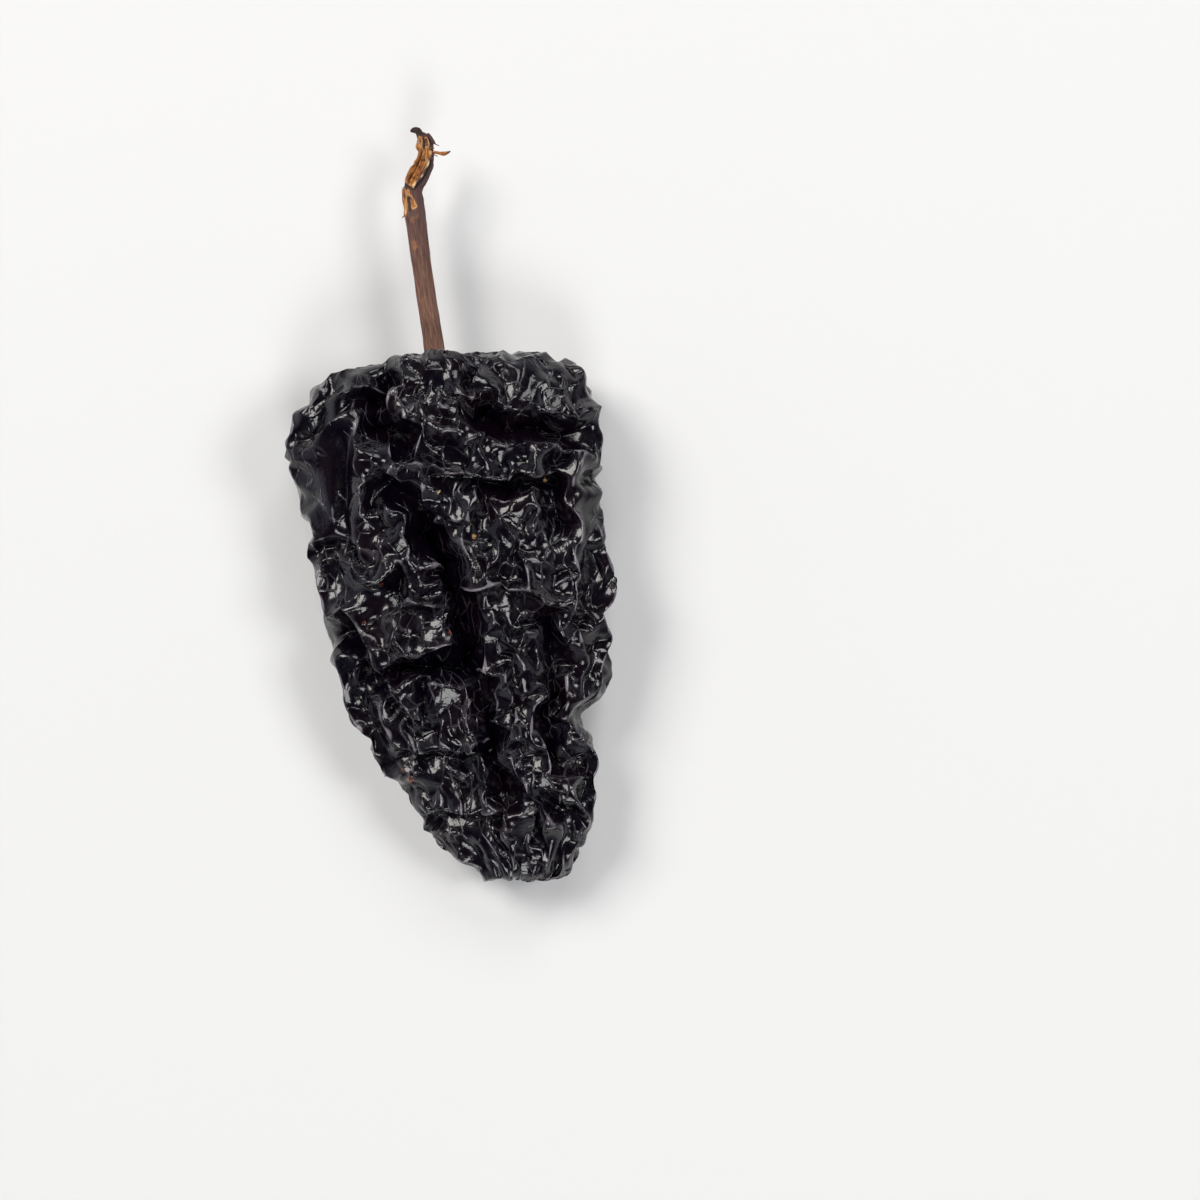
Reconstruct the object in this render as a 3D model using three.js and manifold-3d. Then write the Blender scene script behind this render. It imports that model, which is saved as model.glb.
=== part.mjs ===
// Ancho chili: a ripe poblano pepper dried whole, lying on its flattest side.
// The pod is a thin tough skin that kept its area while the flesh under it shrank, so it stands in
// folds. The pod here is a loft between four outline curves, pressed in along its main folds, and
// its skin is then given too much area and relaxed until it finds the smaller folds by itself.
// The pedicel and the calyx it spreads into grew as one piece and make the second solid.
// Millimetres. +Y runs up the pod towards the stem, +Z is up from the table, and the origin is the
// middle of the flat spot that the pod rests on.
import * as THREE from "three";
import { mergeVertices } from "three/addons/utils/BufferGeometryUtils.js";
import Module from "manifold-3d";

// Outlines of the pod as it lies, all from the stem cavity's floor, over the rim, to the blossom end.
// Points with the same place in each list lie on one cross-section.
const LEFT_XY = [
  [-3, 50], [-9, 50.8], [-11, 54], [-14, 56.2], [-24, 53.5], [-31, 49], [-35.8, 41], [-37, 33], [-34.8, 23],
  [-31.9, 12], [-28.8, -3], [-24.5, -20], [-17.5, -36], [-8.8, -48.7], [-1.2, -58.5], [6, -64.2], [10, -66.3],
  [15, -67],
];
const RIGHT_XY = [
  [-3, 50], [3, 50.8], [5, 54.5], [9, 57.8], [20, 58.3], [28.3, 54.5], [32.8, 47], [34.8, 38], [35.3, 27],
  [36, 14], [36.8, 0], [36.3, -14.5], [33.2, -28], [33.3, -42], [32.6, -53.5], [27.8, -62.4], [21.5, -66.2],
  [15, -67],
];
const FRONT_YZ = [
  [50, 14], [50.8, 19], [54, 21.5], [57.3, 24.5], [54.5, 28], [49, 29.5], [42, 30], [34, 29.5], [24, 28.5],
  [12.5, 27.5], [-1, 26.5], [-16, 25], [-30, 23.5], [-42, 21.5], [-53, 19], [-61, 16], [-65.6, 12.5],
  [-67, 8.5],
];
const BACK_YZ = [
  [50, 14], [50.8, 9], [53.5, 6.5], [56, 4.5], [53.5, 2.5], [48, 1.8], [41, 1.5], [34, 1.5], [24, 1.5],
  [12.5, 1.5], [-1, 1.5], [-16, 1.5], [-30, 1.5], [-42, 1.5], [-53, 2], [-61, 3], [-65.2, 5],
  [-67, 8.5],
];
const LAST_STATION = LEFT_XY.length - 1;
const SECTION_POWER = 0.85; // 1 is an ellipse, less is fuller at the corners
const EVEN_TURN = 0.2; // spreads the skin's columns evenly round the flat section

// Folds pressed into the pod: a line on the pod as it lies (x, y), its depth (below 0) or height, and
// the half width over which it fades.
const FRONT_FOLDS = [
  { line: [[-15, 50.5], [-17, 46], [-16, 40], [-11, 37.5]], rise: -4.4, width: 3.2 },
  { line: [[9, 43], [14, 40.5], [21, 40.5], [28, 38.5]], rise: -4.5, width: 3 },
  { line: [[-14, 26], [-10.5, 24], [-7.5, 21.5], [-4.5, 14.5], [-1, 8.5]], rise: -3, width: 2.6 },
  { line: [[-4.5, 14.5], [-1.5, 8.5], [2, 1], [3.3, -5], [4, -14.5]], rise: -5.2, width: 4 },
  { line: [[25.5, 31], [24.3, 24], [26, 17.5]], rise: -2.4, width: 2.6 },
  { line: [[-13, -17.5], [-6, -15.5], [0, -16.5]], rise: -2.4, width: 2.4 },
  { line: [[7, -20], [9.5, -29], [11, -38], [13.5, -46]], rise: -3, width: 2.8 },
  { line: [[23.5, -6], [25.5, -16], [24.5, -27], [27, -38]], rise: -2.6, width: 3 },
];
const BACK_FOLDS = [
  { line: [[-9, 33], [-13, 14], [-11, -6], [-2, -22], [9, -40]], rise: -4, width: 4.5 },
  { line: [[17, 40], [21, 10], [26, -12]], rise: -3.5, width: 4 },
  { line: [[-26, 38], [-25, 18], [-21, -4], [-11, -26]], rise: -3.5, width: 3.5 },
];
const FRONT_CREASES = [
  { line: [[-32, 43], [-23, 49], [-16.5, 50]], rise: 1.1, width: 1.6 },
  { line: [[-33.5, 38.5], [-26, 44.5], [-19, 48]], rise: -1.5, width: 1.5 },
  { line: [[-7, 39.5], [-3, 36.5], [1.5, 33]], rise: -1.2, width: 1.8 },
  { line: [[5, 28.2], [13, 26.8], [24, 27.8]], rise: -2.4, width: 1.9 },
  { line: [[-13, 31.5], [1, 31.2], [8, 29.6], [25, 29.8]], rise: 1.6, width: 1.4 },
  { line: [[-13, 31], [-6, 27.4], [-0.5, 24.2]], rise: 1.2, width: 1.3 },
  { line: [[-31, 10.5], [-26, 13], [-20, 8]], rise: -1.9, width: 1.8 },
  { line: [[-23.5, 36], [-24.5, 27.5], [-25, 20], [-23.5, 12]], rise: -1.3, width: 1.5 },
  { line: [[-17, 24.5], [-16, 15.5]], rise: -1.6, width: 1.5 },
  { line: [[-5.5, 12.5], [-3.2, 5.3], [-0.6, -2]], rise: 1.1, width: 1.2 },
  { line: [[-4, -1], [-9, 0], [-12, -5], [-11.5, -10], [-8, -12], [-1.5, -9.5]], rise: 1.8, width: 1.6 },
  { line: [[-25, -5], [-19.5, -16.5], [-12, -27.5]], rise: -1.8, width: 1.7 },
  { line: [[-20, -6.5], [-16, -15], [-12.5, -22.5], [-7, -29]], rise: 1.4, width: 1.4 },
  { line: [[-4.5, -18], [-6.5, -24], [-4, -32]], rise: -1.6, width: 1.7 },
  { line: [[13, 17.5], [17.5, 12.7], [19.4, 5.8]], rise: 1.2, width: 1.3 },
  { line: [[5, 3], [14, 3.2], [20, 2.9], [23.5, 0]], rise: 1.4, width: 1.3 },
  { line: [[12.5, -7], [16.5, -14], [22, -21.5]], rise: 1.3, width: 1.4 },
  { line: [[13, -18], [17, -28], [13, -38]], rise: 1.2, width: 1.4 },
  { line: [[3, -38.8], [-3, -38.2], [-11, -38]], rise: -1.5, width: 1.7 },
  { line: [[-1.5, -49], [5, -49.6], [9.5, -49]], rise: 1.2, width: 1.4 },
  { line: [[-2.5, -52.3], [6, -52.9], [11, -52.3]], rise: -1.3, width: 1.6 },
];

// Broad facets that dried nearly smooth: the middle, how far they reach, the share of folding they lose.
const SMOOTH_FACETS = [
  { at: [-28, 31], reach: 8, loss: 0.75 },
  { at: [-20.5, 18.5], reach: 5, loss: 0.6 },
  { at: [18.5, 51.5], reach: 5, loss: 0.6 },
  { at: [0, -28], reach: 5, loss: 0.6 },
];

// How the skin is relaxed. `along` and `around` are the shares of length it has too much of, `bend`
// and `hold` how stiff it is and how firmly the flesh holds it, `swing` how far the direction of the
// spare length wanders (radians), `patch` how far apart it wanders, `ripple` the first unevenness.
const BIG_FOLDS = {
  along: 0.05, around: 0.1, steps: 400, bend: 0.02, hold: 0.03, swing: 0.4, patch: 26, uneven: 0.5,
  ripple: 0.5, rippleLength: 14, seed: 5,
};
const FACETS = {
  along: 0.06, around: 0.16, steps: 500, bend: 0.012, hold: 0.012, swing: 0.9, patch: 14, uneven: 0.5,
  ripple: 0.3, rippleLength: 8, seed: 21,
};
const COARSE = { rows: 60, columns: 80 };
const FINE = { rows: 120, columns: 160 };
const FOLLOW_SIDEWAYS = 0.3; // how much less the flesh holds the skin sideways than up and down
const DAMPING = 0.9;
const STEP_RATE = 0.12;
const STILL_START = { from: 3, over: 1.5 }; // up to this station the stem cavity keeps its form
const STILL_END = { from: 16, over: 1.6 }; // and from this one on, the blossom end does
const FOOT_RADIUS = 8; // flat spot on the underside, round the origin
const FOOT_REACH = 4; // nothing above this height belongs to the flat spot
const FRONT_HEIGHT = 14; // above this height the skin belongs to the front
const FOOT_PRESS = 2.6; // how far the flat spot is pressed down before the table flattens it

// The stem: its middle line from the calyx to the torn tip, its width and depth at each point.
const STEM_LINE = [
  { at: [-2.9, 54.2, 14], wide: 6.4, deep: 6.2 },
  { at: [-3.2, 56.6, 14.1], wide: 5.2, deep: 5.1 },
  { at: [-3.9, 60.5, 14.3], wide: 4.9, deep: 4.8 },
  { at: [-5, 68, 14.7], wide: 4.7, deep: 4.5 },
  { at: [-6.2, 76, 15], wide: 4.5, deep: 4.3 },
  { at: [-7.4, 84.5, 15.1], wide: 4.6, deep: 4.3 },
  { at: [-8.3, 91.5, 15], wide: 4.9, deep: 4.4 },
  { at: [-9, 96, 14.8], wide: 4.8, deep: 3.8 },
  { at: [-9.2, 99.3, 14.6], wide: 4.2, deep: 3 },
  { at: [-8.2, 102, 14.5], wide: 4.5, deep: 2.7 },
  { at: [-6.8, 104.8, 14.6], wide: 4.7, deep: 2.5 },
  { at: [-5.8, 107.3, 14.9], wide: 3.7, deep: 2.4 },
  { at: [-6.2, 109.8, 15.2], wide: 3.4, deep: 2.1 },
  { at: [-7.2, 111.8, 15.4], wide: 2.6, deep: 1.8 },
  { at: [-8.3, 112.8, 15.4], wide: 1.7, deep: 1.3 },
];
const STEM_TIP = [-9.1, 112.9, 15.3];
const STEM_SIDES = 20;
const STEM_RIBS = 5;
const STEM_RIB_SHARE = 0.035;

// Calyx: a scalloped disc that lies on the cavity's floor.
const CALYX_STATION = 1.3; // how far out over the cavity's floor it reaches
const CALYX_POINTS = 6;
const CALYX_SCALLOP = 0.13;
const CALYX_GAP = 0.45; // between the calyx and the skin under it
const CALYX_THICK = 1.1;
const CALYX_UNDER = [0.3, 0.6, 0.85, 1];
const CALYX_OVER = [{ out: 1, up: 0.55 }, { out: 0.9, up: 1 }, { out: 0.72, up: 1.25 }, { out: 0.55, up: 1.8 }];

// Fibres that stand off the torn end: points, with the thickness at the root and the tip.
const FIBRES = [
  { line: [[-6.2, 107, 15], [-3.5, 107.4, 15.2], [-1.6, 107.2, 15.3], [0, 107.7, 15.2]], root: 1.5, tip: 0.8 },
  { line: [[-6.4, 109.5, 15.2], [-4.6, 110.8, 15.7], [-3.4, 109.9, 16.2], [-2.8, 108.6, 16.4]], root: 1.4, tip: 0.7 },
  { line: [[-9.8, 96, 14.8], [-10.9, 93.5, 15.1], [-11.2, 90.8, 15.4]], root: 1.5, tip: 0.8 },
];
const FIBRE_SIDES = 6;
const FIBRE_ROWS = 7;

const SKIN_LOOK = { color: 0x1d1820, roughness: 0.3, metalness: 0 };
const STEM_LOOK = { color: 0x6b4a3c, roughness: 0.75, metalness: 0 };

// Catmull-Rom curve through points, at t from 0 to the last point's place in the list.
function spline(points, t) {
  const last = points.length - 1;
  const i = Math.min(Math.max(Math.floor(t), 0), last - 1);
  const f = t - i;
  const b = points[i];
  const c = points[i + 1];
  return b.map((_, k) => {
    const a = i > 0 ? points[i - 1][k] : 2 * b[k] - c[k];
    const d = i + 2 <= last ? points[i + 2][k] : 2 * c[k] - b[k];
    return cubic(a, b[k], c[k], d, f);
  });
}

function cubic(a, b, c, d, f) {
  return 0.5 * (2 * b + (c - a) * f + (2 * a - 5 * b + 4 * c - d) * f ** 2 + (3 * b - 3 * c + d - a) * f ** 3);
}

// Point of the smooth pod at station t and turn w: 0 is its right edge, a quarter turn its front.
function loft(t, w) {
  const v = w + EVEN_TURN * Math.sin(2 * w);
  const c = Math.cos(v);
  const s = Math.sin(v);
  const left = spline(LEFT_XY, t);
  const right = spline(RIGHT_XY, t);
  const front = spline(FRONT_YZ, t);
  const back = spline(BACK_YZ, t);
  const side = c >= 0 ? right : left;
  const face = s >= 0 ? front : back;
  const middle = (left[0] + right[0]) / 2;
  return [
    middle + Math.abs(c) ** SECTION_POWER * (side[0] - middle),
    c * c * side[1] + s * s * face[0],
    (front[1] + back[1]) / 2 + (Math.sign(s) * Math.abs(s) ** SECTION_POWER * (front[1] - back[1])) / 2,
  ];
}

// A skin is a grid of points: rows from pole to pole, columns round. Each pole is a whole row.
class Skin {
  constructor(rows, columns) {
    this.rows = rows;
    this.columns = columns;
    this.p = new Float64Array(3 * (rows + 1) * columns);
  }

  at(i, j) {
    return 3 * (i * this.columns + ((j + this.columns) % this.columns));
  }
}

// Stations spaced evenly by the mean length of the skin from pole to pole.
function evenStations(rows) {
  const samples = 800;
  const turns = 24;
  const along = [0];
  for (let n = 1; n <= samples; n++) {
    let sum = 0;
    for (let j = 0; j < turns; j++) {
      const w = (j * 2 * Math.PI) / turns;
      const a = loft(((n - 1) * LAST_STATION) / samples, w);
      const b = loft((n * LAST_STATION) / samples, w);
      sum += Math.hypot(b[0] - a[0], b[1] - a[1], b[2] - a[2]);
    }
    along.push(along[n - 1] + sum / turns);
  }
  const stations = [];
  let n = 0;
  for (let i = 0; i <= rows; i++) {
    const wanted = (i * along[samples]) / rows;
    while (n < samples - 1 && along[n + 1] < wanted) n++;
    stations.push(((n + (wanted - along[n]) / (along[n + 1] - along[n])) * LAST_STATION) / samples);
  }
  return stations;
}

function smoothPod({ rows, columns }) {
  const skin = new Skin(rows, columns);
  evenStations(rows).forEach((t, i) => {
    for (let j = 0; j < columns; j++) {
      skin.p.set(loft(t, (j * 2 * Math.PI) / columns), skin.at(i, j));
    }
  });
  return skin;
}

// Outward unit normals of a skin, from the differences between neighbours.
function normals(skin) {
  const { rows, columns, p } = skin;
  const n = new Float64Array(p.length);
  for (let i = 0; i <= rows; i++) {
    for (let j = 0; j < columns; j++) {
      const k = skin.at(i, j);
      const [up, down] = [skin.at(Math.max(i - 1, 0), j), skin.at(Math.min(i + 1, rows), j)];
      const [before, after] = [skin.at(i, j - 1), skin.at(i, j + 1)];
      const du = [0, 1, 2].map((m) => p[down + m] - p[up + m]);
      const dv = [0, 1, 2].map((m) => p[after + m] - p[before + m]);
      const x = dv[1] * du[2] - dv[2] * du[1];
      const y = dv[2] * du[0] - dv[0] * du[2];
      const z = dv[0] * du[1] - dv[1] * du[0];
      const size = Math.max(Math.hypot(x, y, z), 1e-9);
      n.set([x / size, y / size, z / size], k);
    }
  }
  return n;
}

// Distance from (x, y) to a line of points.
function distanceTo(line, x, y) {
  let nearest = Infinity;
  for (let k = 1; k < line.length; k++) {
    const [ax, ay] = line[k - 1];
    const dx = line[k][0] - ax;
    const dy = line[k][1] - ay;
    const share = ((x - ax) * dx + (y - ay) * dy) / (dx * dx + dy * dy);
    const f = Math.min(Math.max(share, 0), 1);
    nearest = Math.min(nearest, Math.hypot(x - ax - f * dx, y - ay - f * dy));
  }
  return nearest;
}

const bell = (distance, width) => Math.exp(-((distance / width) ** 2));

// Presses folds into a skin along its normals: each fades over its width, on the side that faces it.
function pressFolds(skin, frontFolds, backFolds) {
  const n = normals(skin);
  const pressed = new Skin(skin.rows, skin.columns);
  for (let k = 0; k < skin.p.length; k += 3) {
    const [x, y] = [skin.p[k], skin.p[k + 1]];
    const facing = Math.min(Math.abs(n[k + 2]) * 2, 1);
    const folds = n[k + 2] > 0 ? frontFolds : backFolds;
    let rise = folds.reduce((sum, fold) => sum + fold.rise * bell(distanceTo(fold.line, x, y), fold.width), 0);
    rise *= facing;
    for (let m = 0; m < 3; m++) pressed.p[k + m] = skin.p[k + m] + rise * n[k + m];
  }
  return pressed;
}

// The flat spot: the underside round the origin is pushed down, and the table stops it.
function pressFoot(skin) {
  for (let k = 0; k < skin.p.length; k += 3) {
    if (skin.p[k + 2] < FOOT_REACH) {
      skin.p[k + 2] -= FOOT_PRESS * bell(Math.hypot(skin.p[k], skin.p[k + 1]), FOOT_RADIUS * 1.5);
    }
    skin.p[k + 2] = Math.max(skin.p[k + 2], 0);
  }
}

// Small generator, so that the same folds come out each time.
function randomFrom(seed) {
  let state = seed;
  return () => {
    state = (Math.imul(state, 1664525) + 1013904223) >>> 0;
    return state / 2 ** 32;
  };
}

// Smooth noise of unit size at each point of a skin: plane waves in random directions.
function waves(skin, wavelength, seed) {
  const count = 24;
  const draw = randomFrom(seed);
  const made = Array.from({ length: count }, () => {
    const z = 2 * draw() - 1;
    const a = 2 * Math.PI * draw();
    const k = (2 * Math.PI) / (wavelength * (0.75 + 0.6 * draw()));
    const r = Math.sqrt(1 - z * z);
    return [k * r * Math.cos(a), k * r * Math.sin(a), k * z, 2 * Math.PI * draw()];
  });
  const out = new Float64Array(skin.p.length / 3);
  for (let k = 0; k < out.length; k++) {
    const [x, y, z] = skin.p.subarray(3 * k, 3 * k + 3);
    for (const [a, b, c, phase] of made) out[k] += Math.cos(a * x + b * y + c * z + phase);
    out[k] *= Math.sqrt(2 / count);
  }
  return out;
}

// Each point is linked to four neighbours: down, round, and both diagonals.
const LINKS = [
  { down: 1, round: 0, stiff: 1 },
  { down: 0, round: 1, stiff: 1 },
  { down: 1, round: 1, stiff: 0.5 },
  { down: 1, round: -1, stiff: 0.5 },
];

function linkLengths(skin, { down, round }) {
  const { rows, columns, p } = skin;
  const out = new Float64Array((rows + 1 - down) * columns);
  for (let i = 0; i <= rows - down; i++) {
    for (let j = 0; j < columns; j++) {
      const a = skin.at(i, j);
      const b = skin.at(i + down, j + round);
      out[i * columns + j] = Math.hypot(p[b] - p[a], p[b + 1] - p[a + 1], p[b + 2] - p[a + 2]);
    }
  }
  return out;
}

// Each point's share of skin, 1 on the mean, so that crowded points near the poles weigh less.
function skinShare(skin) {
  const { rows, columns } = skin;
  const down = linkLengths(skin, LINKS[0]);
  const round = linkLengths(skin, LINKS[1]);
  const area = round.map((length, k) => length * down[Math.min(k, down.length - columns + (k % columns))]);
  const mean = area.reduce((a, b) => a + b, 0) / ((rows + 1) * columns);
  return area.map((a) => Math.min(Math.max(a / mean, 0.05), 2));
}

// The umbrella sum over a point's four neighbours, for all three coordinates.
function umbrella(skin, q, out) {
  const { rows, columns } = skin;
  for (let i = 0; i <= rows; i++) {
    for (let j = 0; j < columns; j++) {
      const k = skin.at(i, j);
      const [before, after] = [skin.at(i, j - 1), skin.at(i, j + 1)];
      for (let m = 0; m < 3; m++) {
        out[k + m] = q[before + m] + q[after + m] - 2 * q[k + m];
        if (i > 0 && i < rows) out[k + m] += q[k - 3 * columns + m] + q[k + 3 * columns + m] - 2 * q[k + m];
      }
    }
  }
}

// Adds the pull of every link that isn't the length it wants to be.
function addLinkPull(skin, force, { down, round, stiff }, wanted) {
  const { rows, columns, p } = skin;
  for (let i = 0; i <= rows - down; i++) {
    for (let j = 0; j < columns; j++) {
      const a = skin.at(i, j);
      const b = skin.at(i + down, j + round);
      const x = p[b] - p[a];
      const y = p[b + 1] - p[a + 1];
      const z = p[b + 2] - p[a + 2];
      const length = Math.sqrt(x * x + y * y + z * z) + 1e-9;
      const pull = (stiff * (length - wanted[i * columns + j])) / length;
      force[a] += pull * x;
      force[a + 1] += pull * y;
      force[a + 2] += pull * z;
      force[b] -= pull * x;
      force[b + 1] -= pull * y;
      force[b + 2] -= pull * z;
    }
  }
}

// The lengths that the links want: more than the base has, most across a direction that wanders.
function grownLengths(base, spare, share) {
  const turn = waves(base, spare.patch * 1.7, spare.seed);
  const amount = waves(base, spare.patch, spare.seed + 1);
  const mean = (a) => a.reduce((x, y) => x + y, 0) / a.length;
  const slant = Math.atan2(mean(linkLengths(base, LINKS[1])), mean(linkLengths(base, LINKS[0])));
  const angles = [0, Math.PI / 2, slant, -slant];
  return LINKS.map((link, n) =>
    linkLengths(base, link).map((length, k) => {
      const s = Math.sin(angles[n] - spare.swing * turn[k]) ** 2;
      const much = share[k] * Math.min(Math.max(1 + spare.uneven * amount[k], 0), 2.5);
      return length * (1 + much * (spare.around * s + spare.along * (1 - s)));
    }),
  );
}

// Relaxes a skin with too much area on the base that holds it, by damped steps down its forces.
function relax(base, spare, stations) {
  const { rows, columns } = base;
  const n = normals(base);
  const share = skinShare(base);
  const quiet = Float64Array.from(share, (_, k) => growthShare(base, k, stations));
  const wanted = grownLengths(base, spare, quiet);
  const ripple = waves(base, spare.rippleLength, spare.seed + 2);
  const skin = new Skin(rows, columns);
  skin.p.set(base.p.map((x, k) => x + spare.ripple * n[k] * ripple[Math.floor(k / 3)] * quiet[Math.floor(k / 3)]
    * Math.min(share[Math.floor(k / 3)], 1)));
  const restBend = new Float64Array(base.p.length);
  umbrella(base, base.p, restBend);
  const bend = new Float64Array(base.p.length);
  const bendPull = new Float64Array(base.p.length);
  const speed = new Float64Array(base.p.length);
  for (let step = 0; step < spare.steps; step++) {
    const force = new Float64Array(base.p.length);
    LINKS.forEach((link, k) => addLinkPull(skin, force, link, wanted[k]));
    umbrella(skin, skin.p, bend);
    bend.forEach((b, k) => (bend[k] = b - restBend[k]));
    umbrella(skin, bend, bendPull);
    for (let i = 1; i < rows; i++) {
      if (stations[i] < STILL_START.from || stations[i] > STILL_END.from) continue;
      for (let j = 0; j < columns; j++) {
        const k = skin.at(i, j);
        const off = [0, 1, 2].map((m) => skin.p[k + m] - base.p[k + m]);
        const out = off[0] * n[k] + off[1] * n[k + 1] + off[2] * n[k + 2];
        for (let m = 0; m < 3; m++) {
          const held = FOLLOW_SIDEWAYS * off[m] + (1 - FOLLOW_SIDEWAYS) * out * n[k + m];
          const total = force[k + m] - spare.bend * bendPull[k + m] - spare.hold * share[k / 3] * held;
          speed[k + m] = DAMPING * speed[k + m] + STEP_RATE * total;
          skin.p[k + m] += speed[k + m];
        }
        skin.p[k + 2] = Math.max(skin.p[k + 2], 0);
      }
    }
  }
  return skin;
}

// How much of the spare length a point gets: little or none in the stem cavity, at the blossom end, on
// the flat spot and on the smooth facets.
function growthShare(base, k, stations) {
  const [x, y, z] = base.p.subarray(3 * k, 3 * k + 3);
  const station = stations[Math.floor(k / base.columns)];
  const start = Math.min(Math.max((station - STILL_START.from) / STILL_START.over, 0), 1);
  const end = Math.min(Math.max((STILL_END.from - station) / STILL_END.over, 0), 1);
  if (z < FOOT_REACH) return start * end * (1 - bell(Math.hypot(x, y), FOOT_RADIUS * 1.3));
  if (z < FRONT_HEIGHT) return start * end;
  return SMOOTH_FACETS.reduce(
    (share, { at, reach, loss }) => share * (1 - loss * bell(Math.hypot(x - at[0], y - at[1]), reach)),
    start * end,
  );
}

// The same skin on another grid, by cubic curves both ways.
function resample(skin, { rows, columns }) {
  const out = new Skin(rows, columns);
  const last = skin.rows;
  const row = (i, j, m) => {
    if (i < 0) return 2 * skin.p[skin.at(0, j) + m] - skin.p[skin.at(1, j) + m];
    if (i > last) return 2 * skin.p[skin.at(last, j) + m] - skin.p[skin.at(last - 1, j) + m];
    return skin.p[skin.at(i, j) + m];
  };
  for (let i = 0; i <= rows; i++) {
    const u = (i * last) / rows;
    const iu = Math.min(Math.floor(u), last - 1);
    for (let j = 0; j < columns; j++) {
      const v = (j * skin.columns) / columns;
      const jv = Math.floor(v);
      for (let m = 0; m < 3; m++) {
        const across = [-1, 0, 1, 2].map((a) =>
          cubic(...[-1, 0, 1, 2].map((b) => row(iu + a, jv + b, m)), v - jv));
        out.p[out.at(i, j) + m] = cubic(...across, u - iu);
      }
    }
  }
  return out;
}

// Closed triangle mesh of a skin, with one point at each pole.
function closedMesh(skin) {
  const { rows, columns } = skin;
  const positions = [...skin.p.subarray(0, 3)];
  for (let i = 1; i < rows; i++) positions.push(...skin.p.subarray(skin.at(i, 0), skin.at(i, 0) + 3 * columns));
  positions.push(...skin.p.subarray(skin.at(rows, 0), skin.at(rows, 0) + 3));
  const point = (i, j) => 1 + (i - 1) * columns + (j % columns);
  const far = positions.length / 3 - 1;
  const faces = [];
  for (let j = 0; j < columns; j++) {
    faces.push(0, point(1, j + 1), point(1, j), far, point(rows - 1, j), point(rows - 1, j + 1));
    for (let i = 1; i < rows - 1; i++) {
      const [a, b, c, d] = [point(i, j), point(i, j + 1), point(i + 1, j + 1), point(i + 1, j)];
      if ((i + j) % 2) faces.push(a, b, c, a, c, d);
      else faces.push(a, b, d, b, c, d);
    }
  }
  const geometry = new THREE.BufferGeometry();
  geometry.setAttribute("position", new THREE.Float32BufferAttribute(positions, 3));
  geometry.setIndex(faces);
  return geometry;
}

// Every second point of a fine skin.
function thinned(skin) {
  const out = new Skin(skin.rows / 2, skin.columns / 2);
  for (let i = 0; i <= out.rows; i++) {
    for (let j = 0; j < out.columns; j++) {
      const k = skin.at(2 * i, 2 * j);
      out.p.set(skin.p.subarray(k, k + 3), out.at(i, j));
    }
  }
  return out;
}

function makePod() {
  const pressed = pressFolds(smoothPod(COARSE), FRONT_FOLDS, BACK_FOLDS);
  pressFoot(pressed);
  const folded = relax(pressed, BIG_FOLDS, evenStations(COARSE.rows));
  const creased = pressFolds(resample(folded, FINE), FRONT_CREASES, []);
  pressFoot(creased);
  const skin = relax(creased, FACETS, evenStations(FINE.rows));
  for (let k = 0; k < skin.p.length; k += 3) {
    const onFoot = Math.hypot(skin.p[k], skin.p[k + 1]) < FOOT_RADIUS && skin.p[k + 2] < FOOT_REACH;
    if (onFoot) skin.p[k + 2] = 0;
  }
  return closedMesh(thinned(skin));
}

// Closed mesh over rings of points that climb from one pole to the other.
function overRings(firstPole, rings, lastPole) {
  const skin = new Skin(rings.length + 1, rings[0].length);
  const down = [rings[0].map(() => lastPole), ...rings.toReversed(), rings[0].map(() => firstPole)];
  down.forEach((ring, i) => ring.forEach((point, j) => skin.p.set(point, skin.at(i, j))));
  return closedMesh(skin);
}

// Rings of the calyx: its underside follows the cavity's floor, its rim is scalloped.
function calyxRings() {
  const turns = Array.from({ length: STEM_SIDES }, (_, j) => (j * 2 * Math.PI) / STEM_SIDES);
  const ring = (out, up) =>
    turns.map((w) => {
      const reach = CALYX_STATION * (1 + CALYX_SCALLOP * Math.cos(CALYX_POINTS * w));
      const [x, y, z] = loft(out * reach, w);
      return [x, y + CALYX_GAP + up, z];
    });
  return [
    ...CALYX_UNDER.map((out) => ring(out, 0)),
    ...CALYX_OVER.map(({ out, up }) => ring(out, up * CALYX_THICK)),
  ];
}

// Rings of the pedicel: ribbed ovals square to its middle line.
function pedicelRings() {
  return STEM_LINE.map(({ at, wide, deep }, n) => {
    const before = STEM_LINE[Math.max(n - 1, 0)].at;
    const after = STEM_LINE[n + 1]?.at ?? STEM_TIP;
    const ahead = new THREE.Vector3(...after).sub(new THREE.Vector3(...before)).normalize();
    const across = new THREE.Vector3(ahead.y, -ahead.x, 0).normalize();
    const up = across.clone().cross(ahead);
    return Array.from({ length: STEM_SIDES }, (_, j) => {
      const w = (j * 2 * Math.PI) / STEM_SIDES;
      const rib = 1 + STEM_RIB_SHARE * Math.cos(STEM_RIBS * w);
      return new THREE.Vector3(...at)
        .addScaledVector(across, (wide / 2) * rib * Math.cos(w))
        .addScaledVector(up, (deep / 2) * rib * Math.sin(w))
        .toArray();
    });
  });
}

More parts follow.
